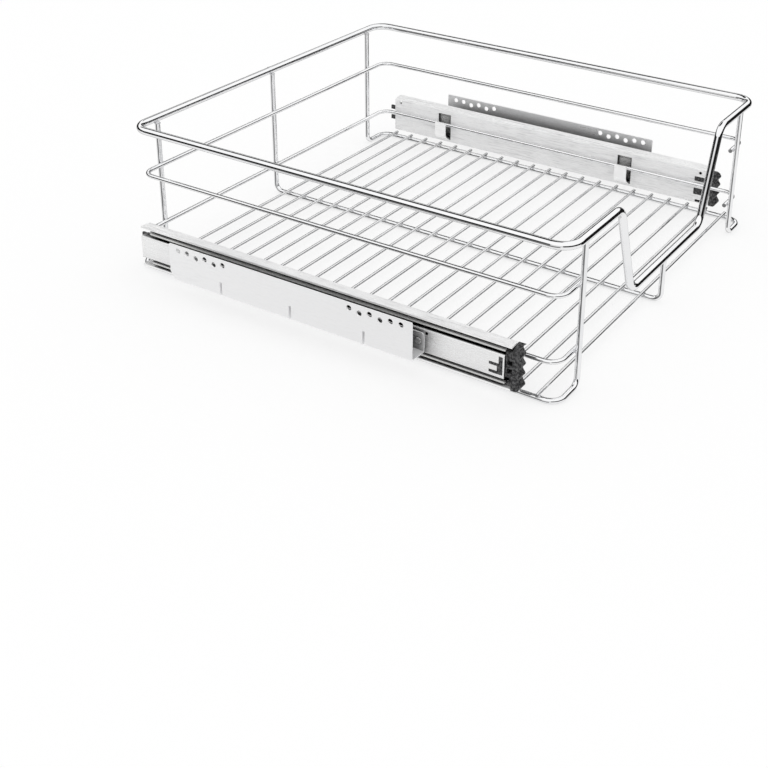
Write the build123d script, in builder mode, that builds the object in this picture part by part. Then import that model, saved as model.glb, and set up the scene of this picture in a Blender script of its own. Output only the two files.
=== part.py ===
from build123d import *
import os

# Pull-out wire basket carried by two ball-bearing slides on cabinet side brackets.
# X points right, the front is towards -Y, Z is up.
# The origin is on the floor plane of the wires, under the middle of the basket.
# Everything on the right is built first and mirrored to the left.

# Sizes of the wire basket
rim_rod = 7.0
rim_x = 193.5
rim_y = 219.0
rim_z = 133.7
rim_corner = 16.0
dip_z = 47.1
dip_top_x = 107.0
dip_bottom_x = 75.0
dip_bend = 13.0
bead_length = 2.0
bead_height = 0.35
support_rod = 4.8
post_x = 165.7
post_back_inset = 3.0
post_front_inset = 1.5
post_bend = 8.0
rail_x = 199.3
rail_corner = 12.0
ring_rod = 4.0
ring_x = 193.4
ring_end_x = 160.0
ring_corner = 12.0
upper_ring_z = 90.7
hook_ring_z = 33.1
cross_rod = 2.9
cross_count = 21
cross_pitch = 20.0
cross_middle = -1.0
cross_end = 3.2
weld_sink = 0.2

# Sizes of the slides, u outward from the inner face, v up and down from the middle
slide_gap = 4.5
slide_lift = 1.6
slide_height = 39.4
slide_depth = 13.5
basket_front = -183.0
basket_rear = 200.5
basket_web = 1.2
basket_depth = 12.3
basket_step = 0.9
basket_flange = 1.7
middle_front = -177.4
middle_rear = 190.0
middle_web_in = 2.2
middle_web = 1.1
middle_reach = 12.0
outer_race = 2.8
middle_flange = 1.6
cabinet_front = -177.6
cabinet_rear = 199.8
cabinet_web = 1.2
cabinet_reach = 4.6
inner_race = 2.6
cabinet_flange = 1.3
locating_hole_radius = 1.4
locating_hole_inset = 1.8
ball_u = 7.2
outer_ball = 3.6
inner_ball = 3.2
ball_count = 10
ball_clearance = 0.05
cage_middle = 8.0
cage_length = 160.0
cage_end = 8.0
cage_wall = 0.25
outer_cage_web_in = 1.5
outer_cage_sheet = 0.4
inner_cage_web_in = 3.7
inner_cage_sheet = 0.5
cage_reach = 9.9
hook_width = 13.5
hook_ys = (133.5, -88.2)
hook_sheet = 1.2
hook_foot_bend = 2.0
hook_bend = 9.0
hook_foot_z = 13.0
hook_top_z = 35.4
hook_bend_z = 17.5
window_top_z = 42.5
window_clearance = 1.4
rear_hole_radius = 1.8
rear_hole_inset = 7.8
rear_hole_v = 15.6
rear_stop_inset = 6.5
rear_stop_length = 3.0
rear_stop_half = 3.0
rear_stop_height = 0.8
clip_inset = 11.0
clip_length = 11.3
upper_clip_v = 7.7
lower_clip_v = -5.9
upper_clip_height = 5.0
lower_clip_height = 7.0
clip_corner = 0.8
front_slot_v = -16.2
front_slot_length = 6.5
front_slot_height = 2.7
front_hole_radius = 1.5
front_hole_v = 14.6
middle_stop_inset = 4.5
middle_stop_low = 10.6
middle_stop_high = 12.9
middle_stop_length = 2.0
middle_stop_height = 0.7
middle_rear_stop_inset = 2.5
middle_rear_stop_length = 3.0
middle_rear_stop_v = -10.4
middle_rear_stop_width = 4.0

# Sizes of the black ends
bumper_rear = -178.1
bumper_front = -188.8
bumper_half = 19.3
bumper_wave = 2.3
bumper_half_waves = 9
bumper_slope_in = 1.5
bumper_slope_out = 8.5
bumper_slope_drop = 2.3
bumper_corner_drop = 5.0
bumper_base = 0.8
bumper_base_low = -11.0
bumper_base_high = 10.2
bumper_block_low = -8.2
bumper_block_high = 14.5
bumper_base_rear = -166.0
clip_clearance = 0.15
pocket_inset = 1.2
pocket_length = 4.2
pocket_height = 4.4
pocket_depth = 5.0
pocket_v = 1.2
pocket_spacing = 7.2
catch_rear = -164.0
catch_wall_rear = -172.6
catch_front = -176.2
catch_low = -7.5
catch_middle = 2.2
catch_high = 8.6
catch_clearance = 0.1
catch_depth = 2.4
tongue_length = 7.2
tongue_width = 4.4
guide_front = 185.0
guide_rear = 200.0
guide_tip = 207.5
guide_prong = 4.4
guide_prong_vs = (6.7, -5.3)
guide_v = 0.7
guide_height = 17.0
guide_sheet = 1.0

# Sizes of the cabinet brackets
bracket_x = 232.0
bracket_sheet = 1.2
bracket_front = -105.0
bracket_rear = 148.0
bracket_bottom = 19.0
bracket_top = 54.0
bracket_inner_top = 36.4
bracket_bend = 1.6
hole_radius = 2.5
hole_pitch = 10.0
hole_first = 10.5
hole_high_z = 49.1
hole_low_z = 47.1
holes_high = (True, True, False, True, False, True)
rib_ys = (90.5, 16.0, -58.5)
rib_top = 34.0
rib_reach = 13.0
rib_width = 4.4
rib_groove = 2.4
rivet_radius = 2.0
rivet_head = 2.9
rivet_edge = 5.0
rivet_clearance = 0.05

# Places that follow from the sizes
post_back_y = rim_y - post_back_inset
post_front_y = post_front_inset - rim_y
post_top = rim_z - rim_rod / 2 + 0.8
ring_back_y = post_back_y - support_rod / 2 - ring_rod / 2 + weld_sink
ring_front_y = post_front_y + support_rod / 2 + ring_rod / 2 - weld_sink
cross_z = support_rod + cross_rod / 2 - weld_sink
cross_half = rail_x + cross_end
slide_x = ring_x + ring_rod / 2 + slide_gap
plate_x = slide_x + slide_depth
slide_z = cross_z + cross_rod / 2 + slide_lift + slide_height / 2
middle_half = slide_height / 2 - basket_flange - outer_race
cabinet_half = middle_half - middle_flange - inner_race
outer_ball_v = middle_half + outer_race / 2
inner_ball_v = cabinet_half + inner_race / 2
outer_cage_half = outer_ball_v + cage_wall
inner_cage_half = inner_ball_v + cage_wall
ball_pitch = (cage_length - 2 * cage_end) / (ball_count - 1)
clip_y = basket_front + clip_inset
rivet_z = slide_z
bracket_middle = (bracket_front + bracket_rear) / 2
ball_ys = [cage_middle + (i - (ball_count - 1) / 2) * ball_pitch for i in range(ball_count)]

os.makedirs("parts", exist_ok=True)


def save(piece, node):
    piece.part.label = node
    export_step(piece.part, f"parts/{node}.step")


def save_pair(piece, node):
    save(piece, f"{node}_right")
    with BuildPart() as twin:
        mirror(piece.part, about=Plane.YZ)
    save(twin, f"{node}_left")


def across(y):
    """Plane across the right slide, local x outward, local y up, facing the front."""
    return Plane(origin=(slide_x, y, slide_z), x_dir=(1, 0, 0), z_dir=(0, -1, 0))


def along(u):
    """Plane parallel to the slide, local x to the rear, local y up, facing outward."""
    return Plane(origin=(slide_x + u, 0, slide_z), x_dir=(0, 1, 0), z_dir=(1, 0, 0))


# Rim: one bent rod with the low access dip in its front side and a butt weld at the back
with BuildPart() as rim:
    with BuildLine():
        FilletPolyline(
            (0, rim_y, rim_z),
            (rim_x, rim_y, rim_z),
            (rim_x, -rim_y, rim_z),
            (dip_top_x, -rim_y, rim_z),
            (dip_bottom_x, -rim_y, dip_z),
            (0, -rim_y, dip_z),
            radius=[rim_corner, rim_corner, dip_bend, dip_bend],
        )
    with BuildSketch(Plane(origin=(0, rim_y, rim_z), x_dir=(0, 1, 0), z_dir=(1, 0, 0))):
        Circle(rim_rod / 2)
    sweep()
    mirror(about=Plane.YZ)
    with BuildSketch(Plane(origin=(-bead_length / 2, rim_y, rim_z), x_dir=(0, 1, 0), z_dir=(1, 0, 0))):
        Circle(rim_rod / 2 + bead_height)
    extrude(amount=bead_length)
    bead_rims = rim.edges().filter_by(GeomType.CIRCLE).filter_by_position(Axis.X, -2, 2)
    fillet(bead_rims.filter_by(lambda e: e.radius > rim_rod / 2 + 0.1), radius=0.3)
save(rim, "rim")

# Outer support wire: post, bend outward, floor rail, bend inward, post
with BuildPart() as support_wire:
    with BuildLine():
        FilletPolyline(
            (post_x, post_front_y, post_top),
            (post_x, post_front_y, support_rod / 2),
            (rail_x, post_front_y, support_rod / 2),
            (rail_x, post_back_y, support_rod / 2),
            (post_x, post_back_y, support_rod / 2),
            (post_x, post_back_y, post_top),
            radius=[post_bend, rail_corner, rail_corner, post_bend],
        )
    with BuildSketch(Plane.XY.offset(post_top)):
        with Locations((post_x, post_front_y)):
            Circle(support_rod / 2)
    sweep()
save_pair(support_wire, "support_wire")

# Middle support wire, its front post ends under the dip
with BuildPart() as support_wire_centre:
    with BuildLine():
        FilletPolyline(
            (0, post_front_y, dip_z - rim_rod / 2 + 0.8),
            (0, post_front_y, support_rod / 2),
            (0, post_back_y, support_rod / 2),
            (0, post_back_y, post_top),
            radius=post_bend,
        )
    with BuildSketch(Plane.XY.offset(dip_z - rim_rod / 2 + 0.8)):
        with Locations((0, post_front_y)):
            Circle(support_rod / 2)
    sweep()
save(support_wire_centre, "support_wire_centre")

# Upper ring: runs inside the posts and ends just past the two front posts
with BuildPart() as upper_ring:
    with BuildLine():
        FilletPolyline(
            (ring_end_x, ring_front_y, upper_ring_z),
            (ring_x, ring_front_y, upper_ring_z),
            (ring_x, ring_back_y, upper_ring_z),
            (-ring_x, ring_back_y, upper_ring_z),
            (-ring_x, ring_front_y, upper_ring_z),
            (-ring_end_x, ring_front_y, upper_ring_z),
            radius=ring_corner,
        )
    with BuildSketch(Plane(origin=(ring_end_x, ring_front_y, upper_ring_z), x_dir=(0, 1, 0), z_dir=(1, 0, 0))):
        Circle(ring_rod / 2)
    sweep()
save(upper_ring, "upper_ring")

# Hook ring: the same plan lower down, where the slide hooks hold it
with BuildPart() as hook_ring:
    with BuildLine():
        FilletPolyline(
            (ring_end_x, ring_front_y, hook_ring_z),
            (ring_x, ring_front_y, hook_ring_z),
            (ring_x, ring_back_y, hook_ring_z),
            (-ring_x, ring_back_y, hook_ring_z),
            (-ring_x, ring_front_y, hook_ring_z),
            (-ring_end_x, ring_front_y, hook_ring_z),
            radius=ring_corner,
        )
    with BuildSketch(Plane(origin=(ring_end_x, ring_front_y, hook_ring_z), x_dir=(0, 1, 0), z_dir=(1, 0, 0))):
        Circle(ring_rod / 2)
    sweep()
save(hook_ring, "hook_ring")

# Floor of thin cross wires lying on the three support wires
cross_ys = [cross_middle + (i - (cross_count - 1) / 2) * cross_pitch for i in range(cross_count)]
with BuildPart() as cross_wires:
    with BuildSketch(Plane.YZ.offset(-cross_half)):
        with Locations(*[(y, cross_z) for y in cross_ys]):
            Circle(cross_rod / 2)
    extrude(amount=2 * cross_half)
save(cross_wires, "cross_wires")

# Basket member: wide channel with its web against the basket and two lanced hooks
basket_half = slide_height / 2
basket_shoulder = basket_half - basket_step
hook_inner_u = slide_x - ring_x + ring_rod / 2 + hook_sheet / 2
with BuildPart() as basket_member:
    with BuildSketch(across(basket_rear)) as profile:
        with BuildLine():
            Polyline(
                (0, 0),
                (0, basket_shoulder),
                (3.8, basket_shoulder),
                (5.0, basket_half),
                (basket_depth, basket_half),
                (basket_depth, basket_half - basket_flange),
                (5.2, basket_half - basket_flange),
                (4.2, basket_shoulder - basket_web),
                (basket_web, basket_shoulder - basket_web),
                (basket_web, 0),
                (0, 0),
            )
        make_face()
        fillet(profile.vertices().sort_by_distance((0, basket_shoulder))[0], radius=1.2)
        with Locations((ball_u, outer_ball_v)):
            Circle(outer_ball / 2 + ball_clearance, mode=Mode.SUBTRACT)
        mirror(about=Plane.XZ)
    extrude(amount=basket_rear - basket_front)
    for hook_y in hook_ys:
        with BuildSketch(along(0)):
            with Locations((hook_y, (hook_foot_z + window_top_z) / 2 - slide_z)):
                Rectangle(hook_width + 2 * window_clearance, window_top_z - hook_foot_z)
        extrude(amount=basket_web, mode=Mode.SUBTRACT)
        with BuildSketch(across(hook_y + hook_width / 2)):
            with BuildLine():
                FilletPolyline(
                    (hook_sheet / 2, hook_foot_z - 2 - slide_z),
                    (hook_sheet / 2, hook_foot_z - slide_z),
                    (-hook_inner_u, hook_bend_z - slide_z),
                    (-hook_inner_u, hook_top_z - slide_z),
                    radius=[hook_foot_bend, hook_bend],
                )
            trace(line_width=hook_sheet)
        extrude(amount=hook_width)
    with BuildSketch(along(0)):
        with Locations((clip_y, upper_clip_v)):
            RectangleRounded(clip_length, upper_clip_height, clip_corner)
        with Locations((clip_y, lower_clip_v)):
            RectangleRounded(clip_length, lower_clip_height, clip_corner)
        with Locations((clip_y, front_hole_v)):
            Circle(front_hole_radius)
        with Locations((clip_y, front_slot_v)):
            RectangleRounded(front_slot_length, front_slot_height, clip_corner)
        with Locations((basket_rear - rear_hole_inset, rear_hole_v)):
            Circle(rear_hole_radius)
    extrude(amount=basket_web, mode=Mode.SUBTRACT)
    with BuildSketch(along(basket_web)):
        with Locations((basket_rear - rear_stop_inset, 0)):
            Rectangle(rear_stop_length, 2 * rear_stop_half)
    extrude(amount=rear_stop_height)
save_pair(basket_member, "basket_member")

# Intermediate member: channel with ball grooves inside and outside
with BuildPart() as intermediate_member:
    with BuildSketch(across(middle_rear)) as profile:
        with Locations((middle_web_in, 0)):
            Rectangle(middle_reach - middle_web_in, middle_half, align=(Align.MIN, Align.MIN))
        fillet(profile.vertices().sort_by_distance((middle_web_in, middle_half))[0], radius=2.0)
        with Locations((middle_web_in + middle_web, -2)):
            RectangleRounded(
                middle_reach, middle_half - middle_flange + 2, 0.6,
                align=(Align.MIN, Align.MIN), mode=Mode.SUBTRACT,
            )
        with Locations((ball_u, outer_ball_v)):
            Circle(outer_ball / 2 + ball_clearance, mode=Mode.SUBTRACT)
        with Locations((ball_u, inner_ball_v)):
            Circle(inner_ball / 2 + ball_clearance, mode=Mode.SUBTRACT)
        mirror(about=Plane.XZ)
    extrude(amount=middle_rear - middle_front)
    with BuildSketch(along(middle_web_in)):
        with Locations((middle_front + middle_stop_inset, middle_stop_low)):
            Rectangle(
                middle_stop_length, middle_stop_high - middle_stop_low,
                align=(Align.CENTER, Align.MIN),
            )
    extrude(amount=-middle_stop_height)
    with BuildSketch(along(middle_web_in + middle_web)):
        with Locations((middle_rear - middle_rear_stop_inset, middle_rear_stop_v)):
            Rectangle(middle_rear_stop_length, middle_rear_stop_width)
    extrude(amount=middle_stop_height)
save_pair(intermediate_member, "intermediate_member")

# Cabinet member: narrow channel fixed to the bracket, opening towards the basket
with BuildPart() as cabinet_member:
    with BuildSketch(across(cabinet_rear)) as profile:
        with Locations((cabinet_reach, 0)):
            Rectangle(slide_depth - cabinet_reach, cabinet_half, align=(Align.MIN, Align.MIN))
        fillet(profile.vertices().sort_by_distance((slide_depth, cabinet_half))[0], radius=1.6)
        with Locations((slide_depth - cabinet_web, -2)):
            RectangleRounded(
                slide_depth, cabinet_half - cabinet_flange + 2, 0.5,
                align=(Align.MAX, Align.MIN), mode=Mode.SUBTRACT,
            )
        with Locations((ball_u, inner_ball_v)):
            Circle(inner_ball / 2 + ball_clearance, mode=Mode.SUBTRACT)
        mirror(about=Plane.XZ)
    extrude(amount=cabinet_rear - cabinet_front)
    with BuildSketch(along(slide_depth)):
        with BuildLine():
            Polyline(
                (catch_rear, catch_low),
                (catch_rear, catch_middle),
                (catch_wall_rear, catch_middle),
                (catch_wall_rear, catch_high),
                (catch_front, catch_high),
                (catch_front, catch_low),
                (catch_rear, catch_low),
            )
        make_face()
        with Locations((bracket_front - locating_hole_inset, bracket_inner_top - slide_z)):
            Circle(locating_hole_radius)
        with Locations(*[(y, rivet_z - slide_z) for y in (bracket_front + rivet_edge, bracket_middle, bracket_rear - rivet_edge)]):
            Circle(rivet_radius + rivet_clearance)
    extrude(amount=-cabinet_web, mode=Mode.SUBTRACT)
    with BuildSketch(along(slide_depth)):
        with Locations((catch_rear, (catch_low + catch_middle) / 2)):
            Rectangle(tongue_length, tongue_width, align=(Align.MAX, Align.CENTER))
    extrude(amount=-cabinet_web)
save_pair(cabinet_member, "cabinet_member")

# Outer ball cage between the basket member and the intermediate member
with BuildPart() as outer_ball_cage:
    with BuildSketch(across(cage_middle + cage_length / 2)) as profile:
        with Locations((outer_cage_web_in, 0)):
            Rectangle(cage_reach - outer_cage_web_in, 2 * outer_cage_half, align=(Align.MIN, Align.CENTER))
        fillet(profile.vertices().sort_by(Axis.X)[:2], radius=1.4)
        with Locations((outer_cage_web_in + outer_cage_sheet, 0)):
            RectangleRounded(
                cage_reach, 2 * (outer_cage_half - outer_cage_sheet), 1.0,
                align=(Align.MIN, Align.CENTER), mode=Mode.SUBTRACT,
            )
    extrude(amount=cage_length)
    with BuildSketch(Plane.XY.offset(slide_z - basket_half)):
        with Locations(*[(slide_x + ball_u, y) for y in ball_ys]):
            Circle(outer_ball / 2 + ball_clearance)
    extrude(amount=slide_height, mode=Mode.SUBTRACT)
save_pair(outer_ball_cage, "outer_ball_cage")

# Outer balls, two rows held by the outer cage
with BuildPart() as outer_balls:
    with Locations(*[(slide_x + ball_u, y, slide_z + side * outer_ball_v) for y in ball_ys for side in (-1, 1)]):
        Sphere(outer_ball / 2)
save_pair(outer_balls, "outer_balls")

# Inner ball cage between the intermediate member and the cabinet member
with BuildPart() as inner_ball_cage:
    with BuildSketch(across(cage_middle + cage_length / 2)) as profile:
        with Locations((inner_cage_web_in, 0)):
            Rectangle(cage_reach - inner_cage_web_in, 2 * inner_cage_half, align=(Align.MIN, Align.CENTER))
        fillet(profile.vertices().sort_by(Axis.X)[:2], radius=1.2)
        with Locations((inner_cage_web_in + inner_cage_sheet, 0)):
            RectangleRounded(
                cage_reach, 2 * (inner_cage_half - inner_cage_sheet), 0.7,
                align=(Align.MIN, Align.CENTER), mode=Mode.SUBTRACT,
            )
    extrude(amount=cage_length)
    with BuildSketch(Plane.XY.offset(slide_z - basket_half)):
        with Locations(*[(slide_x + ball_u, y) for y in ball_ys]):
            Circle(inner_ball / 2 + ball_clearance)
    extrude(amount=slide_height, mode=Mode.SUBTRACT)
save_pair(inner_ball_cage, "inner_ball_cage")

# Inner balls, two rows held by the inner cage
with BuildPart() as inner_balls:
    with Locations(*[(slide_x + ball_u, y, slide_z + side * inner_ball_v) for y in ball_ys for side in (-1, 1)]):
        Sphere(inner_ball / 2)
save_pair(inner_balls, "inner_balls")

# Front bumper: base clipped into the web windows, block with two pockets, wavy front
wave_step = 2 * bumper_half / bumper_half_waves
with BuildPart() as front_bumper:
    with BuildSketch(along(basket_web)):
        with Locations((bumper_rear, bumper_base_low)):
            Rectangle(
                bumper_base_rear - bumper_rear, bumper_base_high - bumper_base_low,
                align=(Align.MIN, Align.MIN),
            )
    extrude(amount=bumper_base)
    with BuildSketch(along(basket_web)):
        with Locations((bumper_rear, bumper_block_low)):
            Rectangle(
                bumper_rear - basket_front, bumper_block_high - bumper_block_low,
                align=(Align.MAX, Align.MIN),
            )
    extrude(amount=basket_depth - basket_web)
    with BuildSketch(along(basket_web)):
        with BuildLine():
            Spline(*[(
                bumper_front - (bumper_wave if i % 2 else -bumper_wave) * 0.5,
                -bumper_half + i * wave_step,
            ) for i in range(bumper_half_waves + 1)])
            Polyline(
                (bumper_front - bumper_wave * 0.5, bumper_half),
                (basket_front - 0.3, bumper_half),
                (basket_front - 0.3, -bumper_half),
                (bumper_front + bumper_wave * 0.5, -bumper_half),
            )
        make_face()
    extrude(amount=basket_depth - basket_web)
    with BuildSketch(across(basket_front)):
        with BuildLine():
            Polyline(
                (bumper_slope_in, bumper_half),
                (bumper_slope_out, bumper_half - bumper_slope_drop),
                (basket_depth, bumper_half - bumper_corner_drop),
                (basket_depth, bumper_half),
                (bumper_slope_in, bumper_half),
            )
        make_face()
    extrude(amount=basket_front - bumper_front + bumper_wave, mode=Mode.SUBTRACT)
    with BuildSketch(along(basket_web)):
        with Locations((basket_front, bumper_block_low)):
            Rectangle(1, bumper_block_high - bumper_block_low, align=(Align.CENTER, Align.MIN))
    extrude(amount=basket_depth - basket_web)
    with BuildSketch(along(basket_depth)):
        with Locations(*[(basket_front + pocket_inset, pocket_v + side * pocket_spacing / 2) for side in (-1, 1)]):
            Rectangle(pocket_length, pocket_height)
    extrude(amount=-pocket_depth, mode=Mode.SUBTRACT)
    with BuildSketch(along(0)):
        for place, height in ((upper_clip_v, upper_clip_height), (lower_clip_v, lower_clip_height)):
            with Locations((clip_y, place)):
                RectangleRounded(
                    clip_length - 2 * clip_clearance, height - 2 * clip_clearance,
                    clip_corner - clip_clearance,
                )
    extrude(amount=basket_web)
save_pair(front_bumper, "front_bumper")

# Hold-in catch in the front window of the cabinet member, around the lanced tongue
with BuildPart() as hold_in_catch:
    with BuildSketch(along(slide_depth)):
        with BuildLine():
            Polyline(
                (catch_rear - catch_clearance, catch_low + catch_clearance),
                (catch_rear - catch_clearance, catch_middle - catch_clearance),
                (catch_wall_rear - catch_clearance, catch_middle - catch_clearance),
                (catch_wall_rear - catch_clearance, catch_high - catch_clearance),
                (catch_front + catch_clearance, catch_high - catch_clearance),
                (catch_front + catch_clearance, catch_low + catch_clearance),
                (catch_rear - catch_clearance, catch_low + catch_clearance),
            )
        make_face()
        with Locations((catch_rear, (catch_low + catch_middle) / 2)):
            Rectangle(
                tongue_length + 2 * catch_clearance, tongue_width + 2 * catch_clearance,
                align=(Align.MAX, Align.CENTER), mode=Mode.SUBTRACT,
            )
    extrude(amount=-catch_depth)
    with BuildSketch(along(cabinet_reach + 0.2)):
        with Locations(((catch_wall_rear + catch_front) / 2, (catch_low + catch_high) / 2)):
            Rectangle(catch_wall_rear - catch_front - 0.2, catch_high - catch_low - 0.6)
    extrude(amount=slide_depth - cabinet_reach - catch_depth)
save_pair(hold_in_catch, "hold_in_catch")

# Guide clipped on the rear end of the intermediate member, two prongs to the rear
with BuildPart() as intermediate_guide:
    with BuildSketch(along(middle_web_in + middle_web)):
        with Locations((guide_front, guide_v)):
            Rectangle(guide_rear - guide_front, guide_height, align=(Align.MIN, Align.CENTER))
    extrude(amount=guide_sheet)
    with BuildSketch(along(middle_web_in)):
        with Locations((middle_rear, guide_v)):
            Rectangle(guide_rear - middle_rear, guide_height, align=(Align.MIN, Align.CENTER))
        with Locations(*[(guide_rear, v) for v in guide_prong_vs]):
            Rectangle(guide_tip - guide_rear, guide_prong, align=(Align.MIN, Align.CENTER))
    extrude(amount=middle_web + guide_sheet)
save_pair(intermediate_guide, "intermediate_guide")

# Cabinet bracket: bent sheet with screw holes, a floor flange and three pressed gussets
bracket_length = bracket_rear - bracket_front
with BuildPart() as bracket:
    with BuildSketch(Plane(origin=(0, bracket_rear, 0), x_dir=(1, 0, 0), z_dir=(0, -1, 0))) as profile:
        with Locations((plate_x, bracket_bottom)):
            Rectangle(bracket_x - plate_x, bracket_top - bracket_bottom, align=(Align.MIN, Align.MIN))
        fillet(profile.vertices().group_by(Axis.Y)[0], radius=bracket_bend)
        with Locations((plate_x + bracket_sheet, bracket_bottom + bracket_sheet)):
            RectangleRounded(
                bracket_x - plate_x - 2 * bracket_sheet, bracket_top, bracket_bend - bracket_sheet,
                align=(Align.MIN, Align.MIN), mode=Mode.SUBTRACT,
            )
        with Locations((plate_x - 1, bracket_inner_top)):
            Rectangle(bracket_sheet + 2, bracket_top, align=(Align.MIN, Align.MIN), mode=Mode.SUBTRACT)
    extrude(amount=bracket_length)
    corners = bracket.edges().filter_by(Axis.X).filter_by_position(Axis.Z, bracket_inner_top - 0.1, bracket_inner_top + 0.1)
    fillet(corners, radius=3.0)
    tops = bracket.edges().filter_by(Axis.X).filter_by_position(Axis.Z, bracket_top - 0.1, bracket_top + 0.1)
    fillet(tops, radius=1.2)
    for rib_y in rib_ys:
        with BuildSketch(Plane(origin=(0, rib_y + rib_width / 2, 0), x_dir=(1, 0, 0), z_dir=(0, -1, 0))):
            with BuildLine():
                Polyline(
                    (bracket_x - bracket_sheet, rib_top),
                    (bracket_x - bracket_sheet, bracket_bottom + bracket_sheet),
                    (bracket_x - rib_reach, bracket_bottom + bracket_sheet),
                    (bracket_x - bracket_sheet, rib_top),
                )
            make_face()
        extrude(amount=rib_width)
        with BuildSketch(Plane(origin=(0, rib_y + rib_groove / 2, 0), x_dir=(1, 0, 0), z_dir=(0, -1, 0))):
            with BuildLine():
                Polyline(
                    (bracket_x, rib_top - 1.5),
                    (bracket_x, bracket_bottom),
                    (bracket_x - rib_reach + 1.5, bracket_bottom),
                    (bracket_x, rib_top - 1.5),
                )
            make_face()
        extrude(amount=rib_groove, mode=Mode.SUBTRACT)
    with BuildSketch(Plane.YZ.offset(bracket_x)):
        for i, high in enumerate(holes_high):
            hole_y = bracket_length / 2 - hole_first - i * hole_pitch
            hole_z = hole_high_z if high else hole_low_z
            with Locations((bracket_middle + hole_y, hole_z), (bracket_middle - hole_y, hole_z)):
                Circle(hole_radius)
    extrude(amount=-bracket_sheet, mode=Mode.SUBTRACT)
    with BuildSketch(Plane.YZ.offset(bracket_x)):
        with BuildLine():
            Polyline(
                (bracket_rear, bracket_bottom),
                (bracket_rear - 6, bracket_bottom),
                (bracket_rear, bracket_bottom + 8),
                (bracket_rear, bracket_bottom),
            )
        make_face()
    extrude(amount=-9, mode=Mode.SUBTRACT)
    with BuildSketch(Plane.YZ.offset(plate_x)):
        with Locations(*[(y, rivet_z) for y in (bracket_front + rivet_edge, bracket_middle, bracket_rear - rivet_edge)]):
            Circle(rivet_radius + rivet_clearance)
    extrude(amount=bracket_sheet, mode=Mode.SUBTRACT)
save_pair(bracket, "bracket")

# Rivets through the bracket's inner plate and the cabinet member
with BuildPart() as bracket_rivets:
    rivet_ys = (bracket_front + rivet_edge, bracket_middle, bracket_rear - rivet_edge)
    with BuildSketch(Plane.YZ.offset(plate_x - cabinet_web)):
        with Locations(*[(y, rivet_z) for y in rivet_ys]):
            Circle(rivet_radius)
    extrude(amount=cabinet_web + bracket_sheet)
    with BuildSketch(Plane.YZ.offset(plate_x + bracket_sheet)):
        with Locations(*[(y, rivet_z) for y in rivet_ys]):
            Circle(rivet_head)
    extrude(amount=1.5)
    fillet(bracket_rivets.faces().sort_by(Axis.X)[-3:].edges(), radius=1.2)
    with BuildSketch(Plane.YZ.offset(plate_x - cabinet_web)):
        with Locations(*[(y, rivet_z) for y in rivet_ys]):
            Circle(rivet_head)
    extrude(amount=-0.9)
save_pair(bracket_rivets, "bracket_rivets")
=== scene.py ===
import math

import bmesh
import bpy
from mathutils import Matrix, Vector


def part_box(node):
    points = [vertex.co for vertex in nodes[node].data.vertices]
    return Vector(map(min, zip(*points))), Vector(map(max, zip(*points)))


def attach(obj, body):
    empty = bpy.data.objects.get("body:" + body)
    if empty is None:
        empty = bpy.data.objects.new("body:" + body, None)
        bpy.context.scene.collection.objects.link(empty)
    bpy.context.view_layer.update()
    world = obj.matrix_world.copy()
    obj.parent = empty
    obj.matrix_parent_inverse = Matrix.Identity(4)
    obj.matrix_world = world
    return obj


# A pull-out wire basket on its two slides: finishes, weld lumps, floor, light and camera.
# Metres, in the frame of the solids: X to the right, the front towards -Y, Z up.

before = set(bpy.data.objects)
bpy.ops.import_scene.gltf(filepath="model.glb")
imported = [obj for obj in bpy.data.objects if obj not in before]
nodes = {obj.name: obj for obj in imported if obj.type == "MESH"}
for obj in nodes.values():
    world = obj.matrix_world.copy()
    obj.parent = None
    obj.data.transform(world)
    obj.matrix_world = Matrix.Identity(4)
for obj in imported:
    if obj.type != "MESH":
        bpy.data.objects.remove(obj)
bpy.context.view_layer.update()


# Shader maths

class Val:
    """A socket that can be written in sums and products."""

    def __init__(self, shading, socket):
        self.shading = shading
        self.socket = socket

    def maths(self, operation, first, second=0.0):
        return self.shading.node("ShaderNodeMath", {"operation": operation}, {0: first, 1: second})

    def __add__(self, other):
        return self.maths("ADD", self, other)

    __radd__ = __add__

    def __sub__(self, other):
        return self.maths("SUBTRACT", self, other)

    def __rsub__(self, other):
        return self.maths("SUBTRACT", other, self)

    def __mul__(self, other):
        return self.maths("MULTIPLY", self, other)

    __rmul__ = __mul__

    def __truediv__(self, other):
        return self.maths("DIVIDE", self, other)

    def over(self, edge):
        return self.maths("GREATER_THAN", self, edge)

    def at_least(self, other):
        return self.maths("MAXIMUM", self, other)

    def size(self):
        return self.maths("ABSOLUTE", self)

    def root(self):
        return self.maths("SQRT", self)

    def clip(self):
        return self.shading.node("ShaderNodeClamp", {}, {"Value": self})


class Shading:
    """The nodes of one material or world, all made by one method."""

    def __init__(self, data, output_kind):
        data.use_nodes = True
        self.data = data
        self.tree = data.node_tree
        self.tree.nodes.clear()
        self.output = self.tree.nodes.new(output_kind)

    def node(self, kind, settings, inputs, out=0):
        made = self.tree.nodes.new(kind)
        for key, value in settings.items():
            if key == "stops":
                ramp = made.color_ramp
                while len(ramp.elements) < len(value):
                    ramp.elements.new(0.5)
                for element, (place, shade) in zip(ramp.elements, value):
                    element.position = place
                    element.color = (shade, shade, shade, 1.0)
            else:
                setattr(made, key, value)
        for key, value in inputs.items():
            if isinstance(value, Val):
                self.tree.links.new(value.socket, made.inputs[key])
            else:
                made.inputs[key].default_value = value
        return Val(self, made.outputs[out])

    def split(self, vector):
        """The x, y and z of a vector."""
        first = self.node("ShaderNodeSeparateXYZ", {}, {"Vector": vector})
        return [Val(self, socket) for socket in first.socket.node.outputs]

    def show(self, surface):
        self.tree.links.new(surface.socket, self.output.inputs["Surface"])


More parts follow.
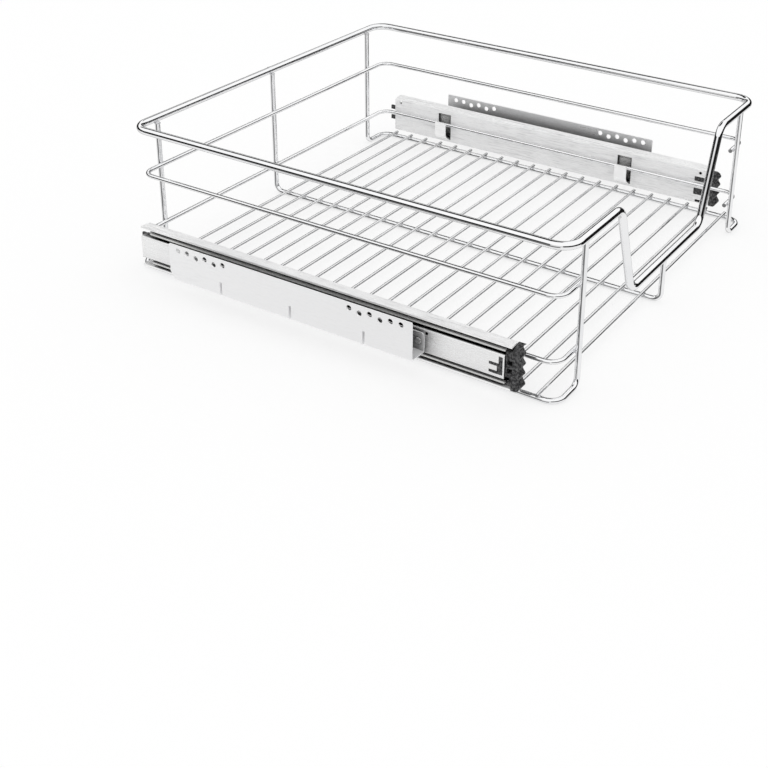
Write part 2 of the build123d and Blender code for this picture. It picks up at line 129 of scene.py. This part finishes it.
class Finish(Shading):
    """A material with one Principled shader."""

    def __init__(self, name):
        super().__init__(bpy.data.materials.new(name), "ShaderNodeOutputMaterial")
        self.surface = self.node("ShaderNodeBsdfPrincipled", {}, {})
        self.show(self.surface)

    def place(self):
        return self.node("ShaderNodeTexCoord", {}, {}, out="Object")

    def noise(self, scale, detail=3.0, stretch=(1.0, 1.0, 1.0), rough=0.55):
        spread = self.node("ShaderNodeMapping", {}, {"Vector": self.place(), "Scale": stretch})
        grain = {"Vector": spread, "Scale": scale, "Detail": detail, "Roughness": rough}
        return self.node("ShaderNodeTexNoise", {}, grain)

    def ramp(self, value, *stops):
        return self.node("ShaderNodeValToRGB", {"stops": stops}, {"Fac": value})

    def tint(self, factor, start, end):
        start, end = (shade if isinstance(shade, Val) else (*shade, 1.0) for shade in (start, end))
        colours = {"Factor": factor, 6: start, 7: end}
        return self.node("ShaderNodeMix", {"data_type": "RGBA"}, colours, out=2)

    def recess_shade(self, reach, shut, bare):
        """1 on open faces, towards 0 deep in gaps and corners: a mask of painted shade, which darkens the
        colour there.
        """
        share = self.node("ShaderNodeAmbientOcclusion", {"samples": 8}, {"Distance": reach}, out="AO")
        return self.ramp(share, (shut, 0.0), (bare, 1.0))

    def outside_of(self, distance):
        """1 where the surface is further than this from the middle plane of the basket."""
        across = self.split(self.place())[0]
        return (across * across).over(distance * distance)

    def bracket_shade(self, reach, shut, bare):
        """1 on a bracket's outer face, and less on the two faces that look at each other in it: painted shade
        between them.
        """
        normal = self.node("ShaderNodeNewGeometry", {}, {}, out="Normal")
        facing = self.split(normal)[0]
        inside = 1.0 - self.outside_of(bracket_sheet_middle)
        return 1.0 - facing * facing * inside * (1.0 - self.recess_shade(reach, shut, bare))

    def bump(self, height, distance):
        return self.node("ShaderNodeBump", {}, {"Height": height, "Distance": distance}, out="Normal")

    def set(self, **values):
        shader = self.surface.socket.node
        for key, value in values.items():
            name = key.replace("_", " ").title()
            if isinstance(value, Val):
                self.tree.links.new(value.socket, shader.inputs[name])
            else:
                shader.inputs[name].default_value = value
        return self.data


# Finishes

bracket_sheet = 0.0012
lip_height = 0.0024
hook_room = 0.0016
# Near black painted into gaps and corners as painted shade
painted_shade_black = (0.010, 0.010, 0.011)

# How closely a pattern is packed along x, y and z: under 1 draws it out to streaks
evenly = (1.0, 1.0, 1.0)
brushed_along = (1.0, 0.06, 1.0)
drawn_along = (1.0, 0.15, 1.0)


def right_side(node_name):
    """How far a node reaches to the right of the basket's middle plane."""
    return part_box(node_name)[1].x


bracket_sheet_middle = right_side("bracket_right") - bracket_sheet / 2
lips_start = right_side("intermediate_member_right") - lip_height
hooks_end = right_side("hook_ring") + hook_room


def chrome(name, bright, dull):
    finish = Finish(name)
    haze = finish.ramp(finish.noise(28.0, 4.0), (0.42, 0.0), (0.68, 1.0))
    grain = finish.noise(900.0, 2.0)
    drawn = finish.noise(160.0, 2.0)
    return finish.set(
        base_color=finish.tint(haze * 0.5 + drawn * 0.2, bright, dull),
        metallic=1.0,
        roughness=0.02 + haze * 0.03 + grain * 0.02,
        normal=finish.bump(drawn * 0.7 + grain * 0.3, 0.00002),
    )


def zinc(name, light, dark, along, polish, shine, ripple=0.00004, shade_settings=(0.007, 0.20, 0.70), kind="plain"):
    """Zinc-plated steel, with painted shade in its gaps and corners: the reach and the two stops of that
    painted shade are given in one tuple.
    """
    finish = Finish(name)
    brushed = finish.ramp(finish.noise(860.0, 4.0, along, 0.7), (0.44, 0.0), (0.66, 1.0))
    cloud = finish.ramp(finish.noise(16.0, 4.0), (0.35, 0.0), (0.7, 1.0))
    marks = finish.ramp(finish.noise(260.0, 6.0, along, 0.7), (0.56, 0.0), (0.64, 1.0))
    wear_and_highlight = brushed * 0.45 + cloud * 0.15 + marks * 0.4
    recess_shade = finish.bracket_shade(*shade_settings) if kind == "bracket" else finish.recess_shade(*shade_settings)
    # The outer lips keep most of their light: the painted shade is lifted there
    if kind == "bright_lips":
        recess_shade = recess_shade + (1.0 - recess_shade) * finish.outside_of(lips_start) * 0.9
    # The hook lugs are painted lighter than the web around them: painted highlight
    if kind == "bright_hooks":
        web = finish.outside_of(hooks_end)
        wear_and_highlight = wear_and_highlight * web - 0.25 * (1.0 - web)
    return finish.set(
        # Gaps and corners turn near black and fully metallic: painted shade
        base_color=finish.tint(recess_shade, painted_shade_black, finish.tint(wear_and_highlight.clip(), light, dark)),
        metallic=1.0 - recess_shade * (1.0 - shine),
        roughness=(polish + brushed * 0.14 + cloud * 0.06 + marks * 0.08).clip(),
        normal=finish.bump(brushed * 0.7 + marks * 0.3, ripple),
    )


def black_plastic():
    finish = Finish("black_plastic")
    spark = finish.noise(1500.0, 3.0)
    mottle_and_glints = finish.ramp(finish.noise(480.0, 4.0), (0.46, 0.0), (0.66, 1.0))
    return finish.set(
        # The lighter patches and specks in the colour are partly the plastic's own mottle and partly painted
        # glints
        base_color=finish.tint(mottle_and_glints * 0.8 + spark * 0.2, (0.004, 0.004, 0.005), (0.130, 0.130, 0.132)),
        roughness=0.20 + spark * 0.16 + mottle_and_glints * 0.10,
        normal=finish.bump(mottle_and_glints * 0.6 + spark * 0.4, 0.0003),
    )


def ball_steel():
    finish = Finish("ball_steel")
    film = finish.noise(120.0, 3.0)
    return finish.set(
        base_color=finish.tint(film, (0.85, 0.85, 0.86), (0.66, 0.64, 0.60)),
        metallic=1.0,
        roughness=0.08 + film * 0.12,
    )


def weld_steel():
    finish = Finish("weld_steel")
    lump = finish.noise(700.0, 4.0)
    return finish.set(
        base_color=finish.tint(lump, (0.86, 0.86, 0.87), (0.52, 0.52, 0.54)),
        metallic=1.0,
        roughness=0.16 + lump * 0.2,
        normal=finish.bump(lump, 0.0003),
    )


rod_chrome = chrome("chrome_wire", (0.98, 0.98, 0.985), (0.88, 0.89, 0.91))
# The floor wires get a darker copy of the chrome: painted shade
shaded_thin_chrome = chrome("chrome_wire_thin_shaded", (0.86, 0.86, 0.865), (0.72, 0.73, 0.74))
# A long reach, so painted shade spreads far over the web near other parts
fixed_zinc = zinc(
    "fixed_slide_zinc", (1.0, 1.0, 1.0), (0.84, 0.84, 0.845), brushed_along,
    polish=0.24, shine=0.25, shade_settings=(0.03, 0.38, 0.90),
)
hooked_zinc = zinc(
    "hooked_slide_zinc", (1.0, 1.0, 1.0), (0.56, 0.56, 0.565), brushed_along,
    polish=0.24, shine=0.08, ripple=0.00005, kind="bright_hooks",
)
# Painted shade darkens the two inner faces of each bracket
bracket_zinc = zinc(
    "bracket_zinc", (0.98, 0.98, 0.985), (0.90, 0.90, 0.905), drawn_along,
    polish=0.27, shine=0.25, ripple=0.00002, shade_settings=(0.03, 0.11, 0.76), kind="bracket",
)
# The rivets are coloured dark grey so that they show as dark spots: painted shade
shaded_rivet_steel = zinc(
    "shaded_rivet_steel", (0.42, 0.42, 0.42), (0.24, 0.24, 0.24), evenly,
    polish=0.24, shine=0.6,
)
# The intermediate members are a darker zinc than the fixed ones, so the gaps they fill look darker: painted
# shade
gap_shaded_zinc = zinc(
    "gap_shaded_zinc", (0.82, 0.82, 0.81), (0.56, 0.56, 0.55), brushed_along,
    polish=0.2, shine=0.4, shade_settings=(0.012, 0.55, 0.90), kind="bright_lips",
)
cage_zinc = zinc(
    "cage_zinc", (0.78, 0.78, 0.77), (0.58, 0.58, 0.57), brushed_along,
    polish=0.3, shine=0.8,
)
plastic = black_plastic()
steel = ball_steel()
weld = weld_steel()

# The first of these words that is in a node's name gives the node its finish
wears = (
    ("cross_wires", shaded_thin_chrome),
    ("rim", rod_chrome),
    ("ring", rod_chrome),
    ("wire", rod_chrome),
    ("rivets", shaded_rivet_steel),
    ("bracket", bracket_zinc),
    ("intermediate_member", gap_shaded_zinc),
    ("basket_member", hooked_zinc),
    ("cabinet_member", fixed_zinc),
    ("cage", cage_zinc),
    ("balls", steel),
    ("bumper", plastic),
    ("catch", plastic),
    ("guide", plastic),
)
for node_name, node in nodes.items():
    worn_finish = next(finish for word, finish in wears if word in node_name)
    node.data.materials.clear()
    node.data.materials.append(worn_finish)


# Spot welds

support_rod = 0.0048
cross_rod = 0.0029
cross_count = 21

# How far the middle of a lump is from the corner of the wires that gives its place
floor_lump_rise = 0.00015
rim_lump_sink = 0.0006
dip_lump_rise = 0.0002
back_ring_lump_sink = 0.0001

# The three radii of a lump
floor_lump = (0.0020, 0.0019, 0.0010)
rim_lump = (0.0027, 0.0027, 0.0016)
ring_lump = (0.0021, 0.0012, 0.0021)

# Waves on a lump along x, y and z: height, waves per radius, and the shift from lump to lump
swells = ((0.09, 5.1, 1.7), (0.07, 6.3, 2.9), (0.06, 7.7, 1.0))


def floor_welds():
    """Where the floor wires lie on the three rails."""
    low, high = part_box("cross_wires")
    rail_x = right_side("support_wire_right") - support_rod / 2
    first_y = low.y + cross_rod / 2
    last_y = high.y - cross_rod / 2
    pitch = (last_y - first_y) / (cross_count - 1)
    ys = [first_y + pitch * step for step in range(cross_count)]
    return [((x, y, low.z + floor_lump_rise), floor_lump) for x in (-rail_x, 0.0, rail_x) for y in ys]


def post_welds():
    """Where the rim and the two rings touch the posts."""
    low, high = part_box("support_wire_right")
    post_x = low.x + support_rod / 2
    back_xs = (-post_x, 0.0, post_x)
    front_xs = (-post_x, post_x)
    back_y = high.y - support_rod / 2
    front_y = low.y + support_rod / 2
    rim_z = high.z - rim_lump_sink
    dip_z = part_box("rim")[0].z + dip_lump_rise
    rings = [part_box(ring) for ring in ("upper_ring", "hook_ring")]
    ring_zs = [(ring_low.z + ring_high.z) / 2 for ring_low, ring_high in rings]
    back_ring_y = rings[0][1].y - back_ring_lump_sink
    front_ring_y = rings[0][0].y
    lumps = [((x, back_y, rim_z), rim_lump) for x in back_xs]
    lumps += [((x, front_y, rim_z), rim_lump) for x in front_xs]
    lumps += [((0.0, front_y, dip_z), rim_lump)]
    lumps += [((x, back_ring_y, z), ring_lump) for x in back_xs for z in ring_zs]
    lumps += [((x, front_ring_y, z), ring_lump) for x in front_xs for z in ring_zs]
    return lumps


def swell(point, number):
    """How far a point lies from the middle of its lump, against one without waves."""
    return 1.0 + sum(
        height * math.sin(often * along + shift * number)
        for along, (height, often, shift) in zip(point, swells)
    )


def weld_nuggets():
    """Small lumps of squeezed metal where two wires are welded: one mesh for the whole basket."""
    shape = bmesh.new()
    for number, (middle, radii) in enumerate(floor_welds() + post_welds()):
        ball = bmesh.ops.create_icosphere(shape, subdivisions=3, radius=1.0)["verts"]
        for vert in ball:
            push = swell(vert.co, number)
            corner = [centre + along * radius * push for centre, along, radius in zip(middle, vert.co, radii)]
            vert.co = Vector(corner)
    mesh = bpy.data.meshes.new("weld_nuggets")
    shape.to_mesh(mesh)
    shape.free()
    for face in mesh.polygons:
        face.use_smooth = True
    mesh.materials.append(weld)
    nuggets = bpy.data.objects.new("weld_nuggets", mesh)
    bpy.context.scene.collection.objects.link(nuggets)
    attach(nuggets, "basket")


weld_nuggets()


# Floor and light

floor_half = 12.0
floor_drop = 0.0002
floor_glow = 0.66
white = (1.0, 1.0, 1.0, 1.0)

# Heights are the z of a direction, azimuths are degrees from +X towards +Y
soft_height = 0.03
soft_azimuth = 6.0
horizon = (0.05, 0.24)
lighter_sector = (185.0, 24.0)
lighter_share = 0.7

# What a glossy ray sees dark: azimuth, half width, middle height, half height, depth
dark_patches = (
    (50.0, 24.0, 0.72, 0.20, 1.0),
    (-36.0, 22.0, -0.02, 0.33, 1.0),
    (168.0, 30.0, -0.42, 0.22, 0.8),
    (45.0, 52.0, -0.65, 0.40, 0.3),
)
dark_share = 0.99

# How bright a glossy ray sees the ground, and half the height of its soft edge
ground_light = 0.86
ground_edge = 0.05

# Keeps the azimuth of straight up and straight down from dividing by zero
shortest_reach = 0.001


def studio_floor():
    """A plain pale floor that glows a little and still takes the shadow."""
    mesh = bpy.data.meshes.new("studio_floor")
    corners = [(x * floor_half, y * floor_half, 0) for x, y in ((-1, -1), (1, -1), (1, 1), (-1, 1))]
    mesh.from_pydata(corners, [], [(0, 1, 2, 3)])
    finish = Finish("studio_floor")
    finish.set(base_color=white, roughness=0.9)
    glow = finish.node("ShaderNodeEmission", {}, {})
    finish.show(finish.node("ShaderNodeMixShader", {}, {0: floor_glow, 1: finish.surface, 2: glow}))
    mesh.materials.append(finish.data)
    floor = bpy.data.objects.new("studio_floor", mesh)
    bpy.context.scene.collection.objects.link(floor)
    floor.location.z = -floor_drop
    floor.visible_glossy = False


def studio_world():
    """White to the eye and as light; bright metal also mirrors the dark edges of the studio."""
    world = bpy.data.worlds.new("studio")
    bpy.context.scene.world = world
    sky = Shading(world, "ShaderNodeOutputWorld")
    x, y, z = sky.split(sky.node("ShaderNodeTexCoord", {}, {}, out="Generated"))
    level_reach = (x * x + y * y).root().at_least(shortest_reach)

    def fade(value, start, end, first, last, kind="SMOOTHSTEP"):
        """From first to last, while the value goes from start to end."""
        stops = {"Value": value, "From Min": start, "From Max": end, "To Min": first, "To Max": last}
        return sky.node("ShaderNodeMapRange", {"interpolation_type": kind}, stops)

    def window(middle, half):
        """1 within half of a height."""
        return fade((z - middle).size(), half, half + soft_height, 1.0, 0.0)

    def sector(azimuth, half):
        """1 within half degrees of an azimuth."""
        turn = math.radians(azimuth)
        facing = (x * math.cos(turn) + y * math.sin(turn)) / level_reach
        soft_edge = math.cos(math.radians(half + soft_azimuth))
        return fade(facing, soft_edge, math.cos(math.radians(half)), 0.0, 1.0)

    dark = window(*horizon) * (1.0 - sector(*lighter_sector) * lighter_share)
    for azimuth, half_width, middle, half_height, depth in dark_patches:
        dark = dark.at_least(sector(azimuth, half_width) * window(middle, half_height) * depth)
    ground = fade(z, -ground_edge, ground_edge, ground_light, 1.0, "LINEAR")
    mirrored = ground * (1.0 - dark * dark_share)
    glossy = sky.node("ShaderNodeLightPath", {}, {}, out="Is Glossy Ray")
    level = sky.node("ShaderNodeMix", {"data_type": "FLOAT"}, {0: glossy, 2: 1.0, 3: mirrored})
    sky.show(sky.node("ShaderNodeBackground", {}, {"Color": white, "Strength": level}))


# Camera

photo_size = 768
focal_pixels = 1296.287
centre_across = 442.4217
centre_down = 191.8229
camera_place = (-0.968121, -0.583336, 0.557533)
camera_azimuth = -58.4142
camera_elevation = 24.0266
camera_roll = 0.9632
sensor_width = 36.0
nearest = 0.05
furthest = 60.0


def photo_camera():
    """A camera at the photograph's place, with its framing as a shift."""
    azimuth, elevation, roll = map(math.radians, (camera_azimuth, camera_elevation, camera_roll))
    level = math.cos(elevation)
    back = Vector((math.sin(azimuth) * level, -math.cos(azimuth) * level, math.sin(elevation)))
    right = Vector((math.cos(azimuth), math.sin(azimuth), 0.0))
    up = back.cross(right)
    rolled_right = right * math.cos(roll) + up * math.sin(roll)
    rolled_up = up * math.cos(roll) - right * math.sin(roll)
    camera = bpy.data.cameras.new("photo_camera")
    camera.sensor_width = sensor_width
    camera.lens = focal_pixels * sensor_width / photo_size
    camera.shift_x = (photo_size / 2 - centre_across) / photo_size
    camera.shift_y = (centre_down - photo_size / 2) / photo_size
    camera.clip_start = nearest
    camera.clip_end = furthest
    holder = bpy.data.objects.new("photo_camera", camera)
    bpy.context.scene.collection.objects.link(holder)
    turn = Matrix((rolled_right, rolled_up, back)).transposed().to_4x4()
    holder.matrix_world = Matrix.Translation(camera_place) @ turn
    bpy.context.scene.camera = holder


studio_floor()
studio_world()
photo_camera()
bpy.context.scene.view_settings.view_transform = "Standard"
